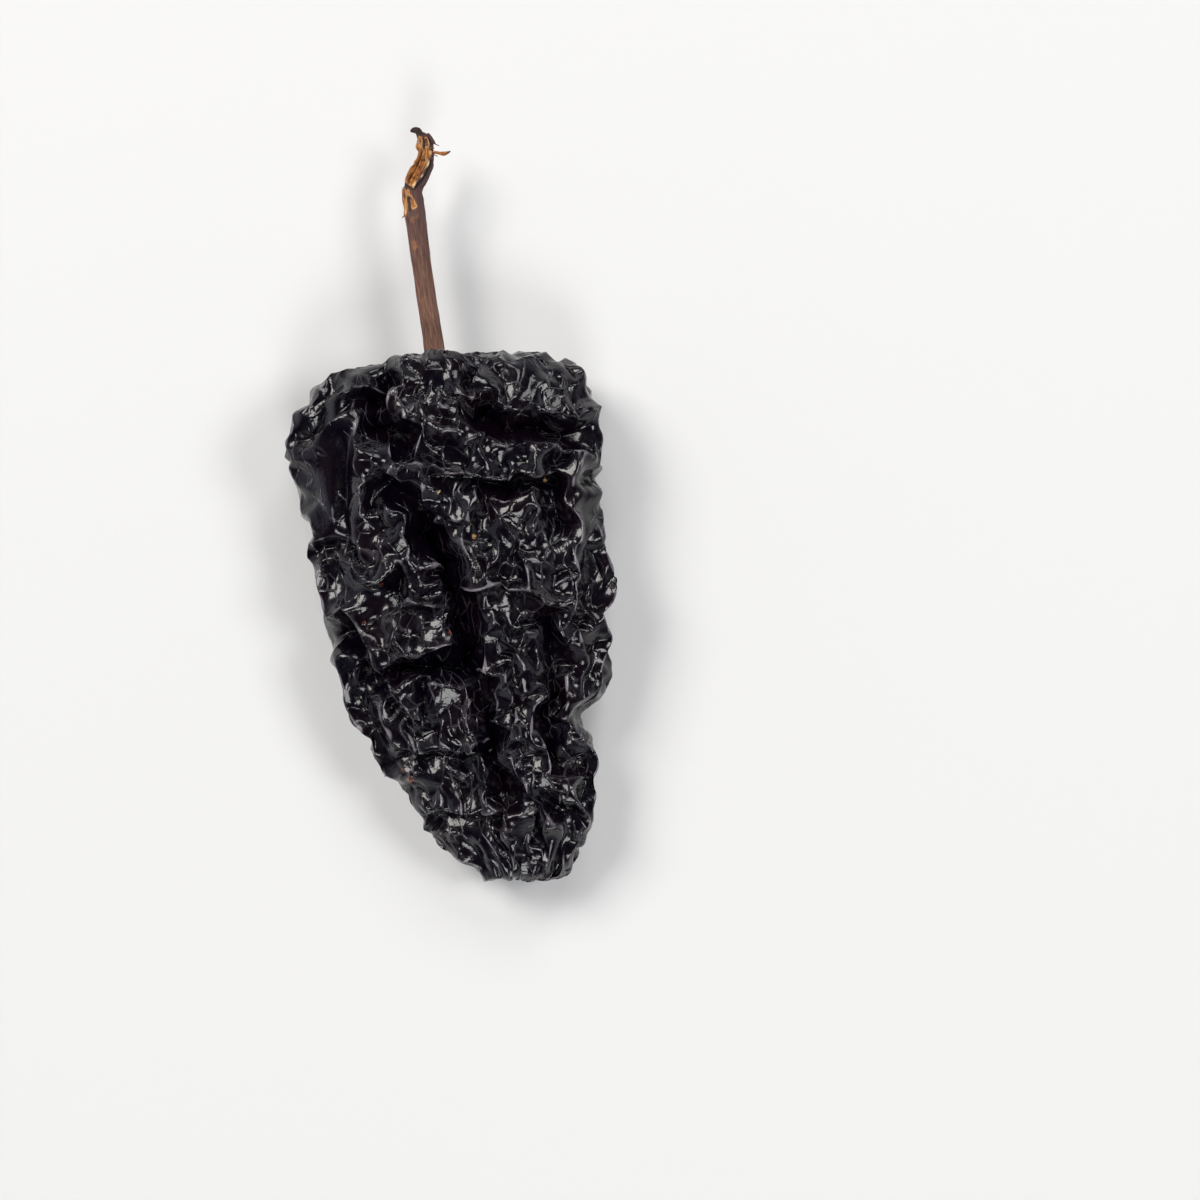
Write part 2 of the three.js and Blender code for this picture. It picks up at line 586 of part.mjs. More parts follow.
// A torn fibre: a thin round strand that tapers along its line.
function fibreMesh({ line, root, tip }) {
  const curve = new THREE.CatmullRomCurve3(line.map((point) => new THREE.Vector3(...point)));
  const rings = Array.from({ length: FIBRE_ROWS }, (_, n) => {
    const share = n / (FIBRE_ROWS - 1);
    const at = curve.getPoint(share);
    const ahead = curve.getTangent(share);
    const across = new THREE.Vector3(ahead.y, -ahead.x, 0).normalize();
    const up = across.clone().cross(ahead);
    const radius = (root + (tip - root) * share) / 2;
    return Array.from({ length: FIBRE_SIDES }, (_, j) => {
      const w = (j * 2 * Math.PI) / FIBRE_SIDES;
      return at.clone().addScaledVector(across, radius * Math.cos(w)).addScaledVector(up, radius * Math.sin(w)).toArray();
    });
  });
  return overRings(line[0], rings, curve.getPoint(1).addScaledVector(curve.getTangent(1), tip / 2).toArray());
}

const wasm = await Module();
wasm.setup();

function solid(geometry) {
  const merged = mergeVertices(geometry, 1e-4);
  return new wasm.Manifold(
    new wasm.Mesh({ numProp: 3, vertProperties: merged.attributes.position.array, triVerts: new Uint32Array(merged.index.array) }),
  );
}

function geometryOf(made) {
  const mesh = made.getMesh();
  const geometry = new THREE.BufferGeometry();
  geometry.setAttribute("position", new THREE.BufferAttribute(mesh.vertProperties, 3));
  geometry.setIndex(new THREE.BufferAttribute(mesh.triVerts, 1));
  return geometry;
}

// Pedicel and calyx in one, with the torn fibres joined on.
function makeStem() {
  const [x, y, z] = loft(0, 0);
  const body = solid(overRings([x, y + CALYX_GAP, z], [...calyxRings(), ...pedicelRings()], STEM_TIP));
  return geometryOf(FIBRES.reduce((whole, fibre) => whole.add(solid(fibreMesh(fibre))), body));
}

function named(name, geometry, look) {
  geometry.computeVertexNormals();
  const mesh = new THREE.Mesh(geometry, new THREE.MeshStandardMaterial(look));
  mesh.name = name;
  return mesh;
}

const chili = new THREE.Group();
chili.add(named("pod", makePod(), SKIN_LOOK));
chili.add(named("stem_with_calyx", makeStem(), STEM_LOOK));
export default chili;
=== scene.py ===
import bpy
import numpy as np
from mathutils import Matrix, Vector


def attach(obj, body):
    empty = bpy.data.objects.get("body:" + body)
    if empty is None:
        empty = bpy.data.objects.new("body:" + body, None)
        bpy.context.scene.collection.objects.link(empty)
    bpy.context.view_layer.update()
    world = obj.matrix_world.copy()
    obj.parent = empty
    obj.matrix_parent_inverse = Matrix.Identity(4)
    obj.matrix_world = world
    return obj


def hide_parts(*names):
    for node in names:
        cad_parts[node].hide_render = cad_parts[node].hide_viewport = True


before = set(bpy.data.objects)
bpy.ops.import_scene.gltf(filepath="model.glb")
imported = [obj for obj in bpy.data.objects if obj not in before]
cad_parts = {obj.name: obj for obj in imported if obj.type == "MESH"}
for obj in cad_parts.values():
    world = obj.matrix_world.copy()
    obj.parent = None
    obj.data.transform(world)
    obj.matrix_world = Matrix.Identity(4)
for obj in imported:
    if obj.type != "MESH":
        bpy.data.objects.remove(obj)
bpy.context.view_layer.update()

# The pod: a ripe poblano dried whole. Its tough glossy skin kept its area while the flesh under it
# shrank, so it stands in sharp folds over smooth facets. It is lofted between its outlines, pressed in
# along its main folds, and its spare skin is then relaxed four times, from big folds to fine ones.

# Outlines of the pod as it lies, in millimetres, from the stem cavity's floor over the rim to the tip.
left_outline = [
    (-3, 50), (-9, 50.8), (-11, 54), (-14, 56.2), (-24, 53.5), (-31, 49), (-35.8, 41), (-37, 33),
    (-34.8, 23), (-31.9, 12), (-28.8, -3), (-24.5, -20), (-17.5, -36), (-8.8, -48.7), (-1.2, -58.5),
    (6, -64.2), (10, -66.3), (15, -67),
]
right_outline = [
    (-3, 50), (3, 50.8), (5, 54.5), (9, 57.8), (20, 58.3), (28.3, 54.5), (32.8, 47), (34.8, 38), (35.3, 27),
    (36, 14), (36.8, 0), (36.3, -14.5), (33.2, -28), (33.3, -42), (32.6, -53.5), (27.8, -62.4), (21.5, -66.2),
    (15, -67),
]
front_profile = [
    (50, 14), (50.8, 19), (54, 21.5), (57.3, 24.5), (54.5, 28), (49, 29.5), (42, 30), (34, 29.5), (24, 28.5),
    (12.5, 27.5), (-1, 26.5), (-16, 25), (-30, 23.5), (-42, 21.5), (-53, 19), (-61, 16), (-65.6, 12.5),
    (-67, 8.5),
]
back_profile = [
    (50, 14), (50.8, 9), (53.5, 6.5), (56, 4.5), (53.5, 2.5), (48, 1.8), (41, 1.5), (34, 1.5), (24, 1.5),
    (12.5, 1.5), (-1, 1.5), (-16, 1.5), (-30, 1.5), (-42, 1.5), (-53, 2), (-61, 3), (-65.2, 5),
    (-67, 8.5),
]
last_station = len(left_outline) - 1

# Folds as lines on the pod (x, y in millimetres), how far they rise or sink, and their half width.
front_folds = [
    ([(-15, 50.5), (-17, 46), (-16, 40), (-11, 37.5)], -4.4, 3.2),
    ([(9, 43), (14, 40.5), (21, 40.5), (28, 38.5)], -4.5, 3),
    ([(-14, 26), (-10.5, 24), (-7.5, 21.5), (-4.5, 14.5), (-1, 8.5)], -3, 2.6),
    ([(-4.5, 14.5), (-1.5, 8.5), (2, 1), (3.3, -5), (4, -14.5)], -5.2, 4),
    ([(25.5, 31), (24.3, 24), (26, 17.5)], -2.4, 2.6),
    ([(-13, -17.5), (-6, -15.5), (0, -16.5)], -2.4, 2.4),
    ([(7, -20), (9.5, -29), (11, -38), (13.5, -46)], -3, 2.8),
    ([(23.5, -6), (25.5, -16), (24.5, -27), (27, -38)], -2.6, 3),
]
back_folds = [
    ([(-9, 33), (-13, 14), (-11, -6), (-2, -22), (9, -40)], -4, 4.5),
    ([(17, 40), (21, 10), (26, -12)], -3.5, 4),
    ([(-26, 38), (-25, 18), (-21, -4), (-11, -26)], -3.5, 3.5),
]
front_creases = [
    ([(-32, 43), (-23, 49), (-16.5, 50)], 1.1, 1.6),
    ([(-33.5, 38.5), (-26, 44.5), (-19, 48)], -1.5, 1.5),
    ([(-7, 39.5), (-3, 36.5), (1.5, 33)], -1.2, 1.8),
    ([(5, 28.2), (13, 26.8), (24, 27.8)], -2.4, 1.9),
    ([(-13, 31.5), (1, 31.2), (8, 29.6), (25, 29.8)], 1.6, 1.4),
    ([(-13, 31), (-6, 27.4), (-0.5, 24.2)], 1.2, 1.3),
    ([(-31, 10.5), (-26, 13), (-20, 8)], -1.9, 1.8),
    ([(-23.5, 36), (-24.5, 27.5), (-25, 20), (-23.5, 12)], -1.3, 1.5),
    ([(-17, 24.5), (-16, 15.5)], -1.6, 1.5),
    ([(-5.5, 12.5), (-3.2, 5.3), (-0.6, -2)], 1.1, 1.2),
    ([(-4, -1), (-9, 0), (-12, -5), (-11.5, -10), (-8, -12), (-1.5, -9.5)], 1.8, 1.6),
    ([(-25, -5), (-19.5, -16.5), (-12, -27.5)], -1.8, 1.7),
    ([(-20, -6.5), (-16, -15), (-12.5, -22.5), (-7, -29)], 1.4, 1.4),
    ([(-4.5, -18), (-6.5, -24), (-4, -32)], -1.6, 1.7),
    ([(13, 17.5), (17.5, 12.7), (19.4, 5.8)], 1.2, 1.3),
    ([(5, 3), (14, 3.2), (20, 2.9), (23.5, 0)], 1.4, 1.3),
    ([(12.5, -7), (16.5, -14), (22, -21.5)], 1.3, 1.4),
    ([(13, -18), (17, -28), (13, -38)], 1.2, 1.4),
    ([(3, -38.8), (-3, -38.2), (-11, -38)], -1.5, 1.7),
    ([(-1.5, -49), (5, -49.6), (9.5, -49)], 1.2, 1.4),
    ([(-2.5, -52.3), (6, -52.9), (11, -52.3)], -1.3, 1.6),
]
# Broad facets that dried nearly smooth: where, how far they reach, and the share of folding they lose.
smooth_facets = [((-28, 31), 8, 0.75), ((-20.5, 18.5), 5, 0.6), ((18.5, 51.5), 5, 0.6), ((0, -28), 5, 0.6)]

foot_radius = 8
foot_reach = 4
front_height = 14


def curve_through(points, t):
    """Catmull-Rom curve: between two neighbours a cubic of t that leaves each along its neighbours' chord."""
    p = np.asarray(points, float)
    p = np.concatenate([2 * p[:1] - p[1:2], p, 2 * p[-1:] - p[-2:-1]])
    i = np.clip(np.floor(t).astype(int), 0, len(p) - 4)
    f = np.asarray(t - i).reshape(np.shape(t) + (1,) * (p.ndim - 1))
    a, b, c, d = p[i], p[i + 1], p[i + 2], p[i + 3]
    return 0.5 * (2 * b + (c - a) * f + (2 * a - 5 * b + 4 * c - d) * f**2 + (3 * b - 3 * c + d - a) * f**3)


def pod_form(t, w):
    """The smooth pod at station t and turn w (0 is its right edge, a quarter turn its front): a fuller
    ellipse between the four outlines, x from cos to the power 0.85 and z from sin to the same power."""
    t, w = np.broadcast_arrays(np.asarray(t, float), np.asarray(w, float))
    turn = w + 0.2 * np.sin(2 * w)
    c, s = np.cos(turn), np.sin(turn)
    left, right, front, back = (
        curve_through(outline, t) for outline in (left_outline, right_outline, front_profile, back_profile)
    )
    side = np.where(c[..., None] >= 0, right, left)
    middle = (left[..., 0] + right[..., 0]) / 2
    x = middle + np.abs(c) ** 0.85 * (side[..., 0] - middle)
    y = c * c * side[..., 1] + s * s * np.where(s >= 0, front[..., 0], back[..., 0])
    thickness = front[..., 1] - back[..., 1]
    z = (front[..., 1] + back[..., 1]) / 2 + np.sign(s) * np.abs(s) ** 0.85 * thickness / 2
    return np.stack([x, y, z], -1)


def even_stations(rows):
    """Stations spaced evenly by the skin's mean length from pole to pole, summed over 24 meridians."""
    t = np.linspace(0, last_station, 801)
    meridians = pod_form(t[:, None], (np.arange(24) * 2 * np.pi / 24)[None])
    steps = np.linalg.norm(np.diff(meridians, axis=0), axis=2).mean(1)
    along = np.concatenate([[0], np.cumsum(steps)])
    return np.interp(np.arange(rows + 1) * along[-1] / rows, along, t)


def outward(grid):
    """Unit normals: the cross product of the differences round and down the grid."""
    down = np.concatenate([grid[1:], grid[-1:]]) - np.concatenate([grid[:1], grid[:-1]])
    across = np.roll(grid, -1, 1) - np.roll(grid, 1, 1)
    n = np.cross(across, down)
    return n / np.maximum(np.linalg.norm(n, axis=2, keepdims=True), 1e-9)


def distance_to(line, x, y):
    """Distance from (x, y) to a line of points: the least over its segments."""
    nearest = np.full(np.shape(x), 1e9)
    for (ax, ay), (bx, by) in zip(line[:-1], line[1:]):
        dx, dy = bx - ax, by - ay
        f = np.clip(((x - ax) * dx + (y - ay) * dy) / (dx * dx + dy * dy), 0, 1)
        nearest = np.minimum(nearest, np.hypot(x - ax - f * dx, y - ay - f * dy))
    return nearest


def bell(distance, width):
    """A bell curve: e to the minus (distance / width) squared."""
    return np.exp(-((distance / width) ** 2))


def press_folds(grid, front, back):
    """Moves the skin along its normals by the sum of each fold's rise times its bell curve."""
    n = outward(grid)
    x, y = grid[..., 0], grid[..., 1]
    rise = np.zeros(x.shape)
    for folds, here in ((front, n[..., 2] > 0), (back, n[..., 2] <= 0)):
        for line, height, width in folds:
            rise += here * height * bell(distance_to(line, x, y), width)
    return grid + (rise * np.minimum(np.abs(n[..., 2]) * 2, 1))[..., None] * n


def press_foot(grid):
    """Pushes the underside round the origin down by 2.6 mm times a bell curve, and stops it on the table."""
    out = grid.copy()
    low = grid[..., 2] < foot_reach
    out[..., 2] -= low * 2.6 * bell(np.hypot(grid[..., 0], grid[..., 1]), foot_radius * 1.5)
    out[..., 2] = np.maximum(out[..., 2], 0)
    return out


def uneven(grid, wavelength, seed):
    """Smooth noise of unit size: 24 cosine waves in random directions, with lengths near the one asked."""
    state = seed

    def draw():
        nonlocal state
        state = (state * 1664525 + 1013904223) % 2**32
        return state / 2**32

    total = np.zeros(grid.shape[:-1])
    for _ in range(24):
        z, a = 2 * draw() - 1, 2 * np.pi * draw()
        k = 2 * np.pi / (wavelength * (0.75 + 0.6 * draw()))
        r = np.sqrt(1 - z * z)
        total += np.cos(k * (grid @ np.array([r * np.cos(a), r * np.sin(a), z])) + 2 * np.pi * draw())
    return total * np.sqrt(2 / 24)


# Each point of the skin is linked down, round and along both diagonals: rows, columns, stiffness.
links = [(1, 0, 1.0), (0, 1, 1.0), (1, 1, 0.5), (1, -1, 0.5)]


def link(grid, rows, columns):
    """The vector along each link: the neighbour's place less the point's own."""
    return np.roll(grid, -columns, 1)[rows:] - grid[: len(grid) - rows]


def curl(grid):
    """The sum of the differences to the four neighbours, which is zero where the skin is flat."""
    out = np.roll(grid, 1, 1) + np.roll(grid, -1, 1) - 2 * grid
    out[1:-1] += grid[2:] + grid[:-2] - 2 * grid[1:-1]
    return out


def spare_share(grid, start, end):
    """How much of the spare skin a point gets: it fades in past the stem cavity's stations, fades out
    before the tip's, and is small on the flat spot and on the smooth facets."""
    t = even_stations(len(grid) - 1)
    share = np.clip((t - start[0]) / start[1], 0, 1) * np.clip((end[0] - t) / end[1], 0, 1)
    x, y, z = grid[..., 0], grid[..., 1], grid[..., 2]
    foot = np.where(z < foot_reach, bell(np.hypot(x, y), foot_radius * 1.3), 0)
    share = share[:, None] * (1 - foot)
    for (fx, fy), reach, loss in smooth_facets:
        share = share * np.where(z < front_height, 1, 1 - loss * bell(np.hypot(x - fx, y - fy), reach))
    return share


def relax_skin(
    base, along, around, steps, bend, hold, swing, patch, patchy, ripple, ripple_length, seed,
    start=(3, 1.5), end=(16, 1.6), extra=1,
):
    """Lets skin with spare length find its folds. Each link wants its length times one plus the spare
    share, most across a direction that wanders. Forces are the links' pull, a stiffness against change
    of curl, and the flesh's hold towards the base; the points move by damped steps down them."""
    n = outward(base)
    lengths = [np.linalg.norm(link(base, r, c), axis=2) for r, c, _ in links]
    area = lengths[1] * np.concatenate([lengths[0], lengths[0][-1:]])
    weight = np.clip(area / area.mean(), 0.05, 2)
    share = spare_share(base, start, end) * extra
    turn = swing * uneven(base, patch * 1.7, seed)
    much = share * np.clip(1 + patchy * uneven(base, patch, seed + 1), 0, 2.5)
    slant = np.arctan2(lengths[1].mean(), lengths[0].mean())
    wanted = []
    for length, angle in zip(lengths, (0, np.pi / 2, slant, -slant)):
        s = np.sin(angle - turn[: len(length)]) ** 2
        wanted.append(length * (1 + much[: len(length)] * (around * s + along * (1 - s))))
    first = ripple * uneven(base, ripple_length, seed + 2) * share * np.minimum(weight, 1)
    skin = base + first[..., None] * n
    rest_curl = curl(base)
    t = even_stations(len(base) - 1)
    free = (t >= start[0]) & (t <= end[0])
    free[[0, -1]] = False
    speed = np.zeros_like(skin)
    for _ in range(steps):
        force = np.zeros_like(skin)
        for (r, c, stiff), want in zip(links, wanted):
            e = link(skin, r, c)
            length = np.sqrt((e * e).sum(2)) + 1e-9
            pull = (stiff * (length - want) / length)[..., None] * e
            force[: len(skin) - r] += pull
            force[r:] -= np.roll(pull, c, 1)
        force -= bend * curl(curl(skin) - rest_curl)
        off = skin - base
        force -= (hold * weight)[..., None] * (0.3 * off + 0.7 * (off * n).sum(2, keepdims=True) * n)
        speed = 0.9 * speed + 0.12 * force
        skin += free[:, None, None] * speed
        skin[..., 2] = np.maximum(skin[..., 2], 0)
    return skin


def finer(grid, rows, columns):
    """The same skin on a finer grid, by Catmull-Rom curves round it and then down it."""
    wrapped = np.concatenate([grid[:, -1:], grid, grid[:, :2]], 1).swapaxes(0, 1)
    round_it = curve_through(wrapped, 1 + np.arange(columns) * grid.shape[1] / columns)
    return curve_through(round_it.swapaxes(0, 1), np.arange(rows + 1) * (len(grid) - 1) / rows)


def mesh_piece(name, grid, material, numbers=None):
    """A closed mesh from a grid in millimetres: quads between its rows, triangles round its two poles.
    Each entry of numbers becomes an attribute with one number, or one vector, for each point."""

    def joined(values):
        flat = values[1:-1].reshape((-1,) + values.shape[2:])
        return np.concatenate([values[0, :1], flat, values[-1, :1]])

    rows, columns = len(grid) - 1, grid.shape[1]
    i, j = np.meshgrid(np.arange(rows - 2), np.arange(columns), indexing="ij")
    a = 1 + i * columns + j
    b = 1 + i * columns + (j + 1) % columns
    quads = np.stack([a, b, b + columns, a + columns], -1).reshape(-1, 4)
    j = np.arange(columns)
    last = 1 + (rows - 2) * columns
    first_pole = np.stack([0 * j, 1 + (j + 1) % columns, 1 + j], -1)
    last_pole = np.stack([0 * j + last + columns, last + j, last + (j + 1) % columns], -1)
    mesh = bpy.data.meshes.new(name)
    faces = quads.tolist() + first_pole.tolist() + last_pole.tolist()
    mesh.from_pydata((joined(grid) / 1000).tolist(), [], faces)
    for key, values in (numbers or {}).items():
        vector = values.ndim == 3
        made = mesh.attributes.new(key, "FLOAT_VECTOR" if vector else "FLOAT", "POINT")
        made.data.foreach_set("vector" if vector else "value", joined(values).astype(np.float32).ravel())
    mesh.shade_smooth()
    mesh.materials.append(material)
    piece = bpy.data.objects.new(name, mesh)
    bpy.context.scene.collection.objects.link(piece)
    return piece


def linear(colour):
    """sRGB hex to linear RGBA: each channel over 12.92, or plus 0.055 over 1.055 to the power 2.4."""
    c = np.array([int(colour[k : k + 2], 16) / 255 for k in (1, 3, 5)])
    return (*np.where(c <= 0.04045, c / 12.92, ((c + 0.055) / 1.055) ** 2.4), 1)


def add(tree, kind, inputs=None, **settings):
    """Adds one node with its settings; inputs gives a value or another node's output for each socket."""
    made = tree.nodes.new(kind)
    for key, value in settings.items():
        setattr(made, key, value)
    for key, value in (inputs or {}).items():
        if isinstance(value, bpy.types.NodeSocket):
            tree.links.new(value, made.inputs[key])
        else:
            made.inputs[key].default_value = value
    return made


def facets_of(grid):
    """Each grid cell's unit normal (cross product of its diagonals), middle and size."""
    a, b = grid[:-1], np.roll(grid, -1, 1)[:-1]
    c, d = np.roll(grid, -1, 1)[1:], grid[1:]
    n = np.cross(b - d, c - a)
    size = np.linalg.norm(n, axis=2, keepdims=True)
    return n / np.maximum(size, 1e-9), (a + b + c + d) / 4, size


def sharpen(grid, passes, reach, alike):
    """Turns round folds into flat facets with sharp edges. Each cell's normal becomes the mean of those
    of cells near it, weighted by bells of distance and of unlikeness; then each point moves, ten times,
    onto the planes through the cells round it."""
    for _ in range(passes):
        n, middle, size = facets_of(grid)
        total = np.zeros_like(n)
        for rows in range(-2, 3):
            there = slice(max(rows, 0), len(n) + min(rows, 0))
            here = slice(max(-rows, 0), len(n) + min(-rows, 0))
            for columns in range(-2, 3):
                m, q, area = (np.roll(v, -columns, 1)[there] for v in (n, middle, size))
                far = ((q - middle[here]) ** 2).sum(2, keepdims=True) / reach**2
                unlike = ((m - n[here]) ** 2).sum(2, keepdims=True) / alike**2
                total[here] += area * np.exp(-far - unlike) * m
        n = total / np.maximum(np.linalg.norm(total, axis=2, keepdims=True), 1e-9)
        for _ in range(10):
            middle = facets_of(grid)[1]
            move = np.zeros_like(grid)
            for row, column in ((0, 0), (0, 1), (1, 0), (1, 1)):
                rows = slice(row, len(grid) - 1 + row)
                gap = middle - np.roll(grid, -column, 1)[rows]
                move[rows] += np.roll(n * (gap * n).sum(2, keepdims=True), column, 1)
            grid = np.concatenate([grid[:1], grid[1:-1] + move[1:-1] / 4, grid[-1:]])
    return grid


# Big folds on a coarse grid, then folds half as wide along the front's creases.
turns = (np.arange(80) * 2 * np.pi / 80)[None]
pod_skin = press_foot(press_folds(pod_form(even_stations(60)[:, None], turns), front_folds, back_folds))
pod_skin = relax_skin(
    pod_skin, along=0.05, around=0.1, steps=400, bend=0.02, hold=0.03, swing=0.4, patch=26, patchy=0.5,
    ripple=0.5, ripple_length=14, seed=5,
)
pod_skin = press_foot(press_folds(finer(pod_skin, 120, 160), front_creases, []))
facing = np.minimum(1, 1.5 * np.abs(outward(pod_skin)[..., 2]))
pod_skin = relax_skin(
    pod_skin, along=0.02, around=0.12, steps=500, bend=0.025, hold=0.012, swing=0.9, patch=14, patchy=0.5,
    ripple=0.3, ripple_length=8, seed=21, extra=0.65 + 0.35 * facing,
)

# Facets a few millimetres wide, then small wrinkles, which crowd together above the middle of the
# front and leave the left shoulder nearly smooth.
fine_rows, fine_columns = 240, 400
pod_skin = finer(sharpen(pod_skin, passes=1, reach=2.4, alike=0.5), fine_rows, fine_columns)
px, py, pz = np.moveaxis(pod_skin, -1, 0)
facing = np.minimum(1, 1.5 * np.abs(outward(pod_skin)[..., 2]))
on_front = pz > front_height
calm = 1 - 0.6 * on_front * bell(np.hypot(px + 30, (py - 32) * 0.7), 10)
up_the_front = 0.6 * bell(np.hypot(px - 5, (py - 46) * 1.2), 16) + 0.2 * bell(px - 12, 14)
crowded = 0.65 + 0.3 * (1 - facing) + on_front * up_the_front
pod_skin = relax_skin(
    pod_skin, along=0, around=0.24, steps=350, bend=0.03, hold=0.008, swing=1.3, patch=10, patchy=0.7,
    ripple=0.3, ripple_length=6, seed=33, start=(2.2, 1), end=(16.6, 0.8), extra=calm,
)
pod_skin = sharpen(pod_skin, passes=3, reach=1.2, alike=0.5)
pod_skin = relax_skin(
    pod_skin, along=0, around=0.2, steps=150, bend=0.008, hold=0.015, swing=1.5, patch=7, patchy=0.8,
    ripple=0.08, ripple_length=3, seed=77, start=(2.2, 1), end=(16.6, 0.8), extra=calm * crowded,
)
pod_skin = sharpen(pod_skin, passes=3, reach=0.9, alike=0.5)

# The flat spot that the pod rests on.
on_foot = (np.hypot(pod_skin[..., 0], pod_skin[..., 1]) < foot_radius) & (pod_skin[..., 2] < foot_reach)
pod_skin[..., 2] = np.where(on_foot, 0, pod_skin[..., 2])

# How far each point lies under the smooth form, in millimetres.
fine_turns = (np.arange(fine_columns) * 2 * np.pi / fine_columns)[None]
smooth_form = pod_form(even_stations(fine_rows)[:, None], fine_turns)
depth = ((smooth_form - pod_skin) * outward(smooth_form)).sum(2)

# Crests and hollows by curvature: the sum of both second differences along the normal, per millimetre,
# smoothed a little over the neighbours.
least_step = 0.15
normal = outward(pod_skin)
down_step = np.linalg.norm(link(pod_skin, 1, 0), axis=2)
down_step = np.maximum(np.concatenate([down_step[:1], down_step]), least_step)[..., None]
round_step = np.maximum(np.linalg.norm(link(pod_skin, 0, 1), axis=2), least_step)[..., None]
bend_round = (np.roll(pod_skin, 1, 1) + np.roll(pod_skin, -1, 1) - 2 * pod_skin) / round_step**2
bend_down = np.zeros_like(pod_skin)
bend_down[1:-1] = (pod_skin[2:] + pod_skin[:-2] - 2 * pod_skin[1:-1]) / down_step[1:-1] ** 2
crest = -((bend_round + bend_down) * normal).sum(2)
crest = (2 * crest + np.roll(crest, 1, 1) + np.roll(crest, -1, 1)) / 4
crest[1:-1] = (2 * crest[1:-1] + crest[2:] + crest[:-2]) / 4

# Places where the skin cracked and shows dry flesh: (x, y, half width), on the front.
tan_flecks = [(6.5, 14.9, 0.8), (5.6, 17.6, 0.45), (23, 28.6, 0.7), (13.2, 20.2, 0.35), (-1.5, 25.2, 0.4)]
rust_flecks = [
    (-19.8, -5.4, 0.55), (-15.1, 3.8, 0.5), (0.5, -7.4, 0.5), (-9.3, -43, 1.2), (-11, -40.5, 0.6),
]
px, py = pod_skin[..., 0], pod_skin[..., 1]
on_front = normal[..., 2] > 0
tan_fleck = sum(bell(np.hypot(px - x, py - y), size) for x, y, size in tan_flecks) * on_front
rust_fleck = sum(bell(np.hypot(px - x, py - y), size) for x, y, size in rust_flecks) * on_front

# Dried chili skin: waxy and nearly black, with a purple brown depth and a clear gloss. Crests and thin
# creases carry a painted highlight in pale grey, hollows carry painted shade, darker and less shiny, and a
# few cracks show tan or rusty flesh.
skin = bpy.data.materials.new("dried_chili_skin")
skin.use_nodes = True
tree = skin.node_tree
place = add(tree, "ShaderNodeTexCoord").outputs["Object"]
crest_of = add(tree, "ShaderNodeAttribute", attribute_name="crest").outputs["Fac"]
depth_of = add(tree, "ShaderNodeAttribute", attribute_name="depth").outputs["Fac"]
tan_of = add(tree, "ShaderNodeAttribute", attribute_name="tan_fleck").outputs["Fac"]
rust_of = add(tree, "ShaderNodeAttribute", attribute_name="rust_fleck").outputs["Fac"]
blotch = add(tree, "ShaderNodeTexNoise", {"Vector": place, "Scale": 110, "Detail": 3, "Roughness": 0.55})
blotches = add(
    tree, "ShaderNodeMapRange", {"Value": blotch.outputs["Fac"], "From Min": 0.42, "From Max": 0.62}
)
body_colour = add(
    tree, "ShaderNodeMix", {"Factor": blotches.outputs[0], "A": linear("#06030c"), "B": linear("#0d050c")},
    data_type="RGBA",
)
# Thin raised creases about 4 mm apart, longer along the pod and broken off here and there. Real ones
# are finer; these are drawn a quarter of a millimetre to each side, as coarse as they need to show.
wander = add(tree, "ShaderNodeTexNoise", {"Vector": place, "Scale": 90, "Detail": 0})
bent = add(
    tree, "ShaderNodeVectorMath", {0: wander.outputs["Color"], "Scale": 0.01}, operation="SCALE"
)
bent_place = add(tree, "ShaderNodeVectorMath", {0: place, 1: bent.outputs[0]}, operation="ADD")
stretched = add(
    tree, "ShaderNodeVectorMath", {0: bent_place.outputs[0], 1: (1, 0.6, 1)}, operation="MULTIPLY"
)
creases = add(
    tree, "ShaderNodeTexVoronoi", {"Vector": stretched.outputs[0], "Scale": 250}, feature="DISTANCE_TO_EDGE"
)
crease_line = add(
    tree, "ShaderNodeMapRange",
    {"Value": creases.outputs["Distance"], "From Max": 0.06, "To Min": 1, "To Max": 0},
)
broken = add(tree, "ShaderNodeTexNoise", {"Vector": place, "Scale": 140, "Detail": 2})
kept = add(tree, "ShaderNodeMapRange", {"Value": broken.outputs["Fac"], "From Min": 0.47, "From Max": 0.6})
crease = add(tree, "ShaderNodeMath", {0: crease_line.outputs[0], 1: kept.outputs[0]}, operation="MULTIPLY")
# Painted highlight: crests and the thin creases are coloured pale grey for the light that their edges catch.
painted_crease_highlight = add(tree, "ShaderNodeMath", {0: crease.outputs[0], 1: 0.22}, operation="MULTIPLY")
painted_crest_highlight = add(
    tree, "ShaderNodeMapRange", {"Value": crest_of, "From Min": 0.7, "From Max": 1.6, "To Max": 0.85}
)
painted_highlight = add(
    tree, "ShaderNodeMath", {0: painted_crest_highlight.outputs[0], 1: painted_crease_highlight.outputs[0]}, operation="MAXIMUM"
)
highlighted_colour = add(
    tree, "ShaderNodeMix",
    {"Factor": painted_highlight.outputs[0], "A": body_colour.outputs["Result"], "B": linear("#7c767d")},
    data_type="RGBA",
)
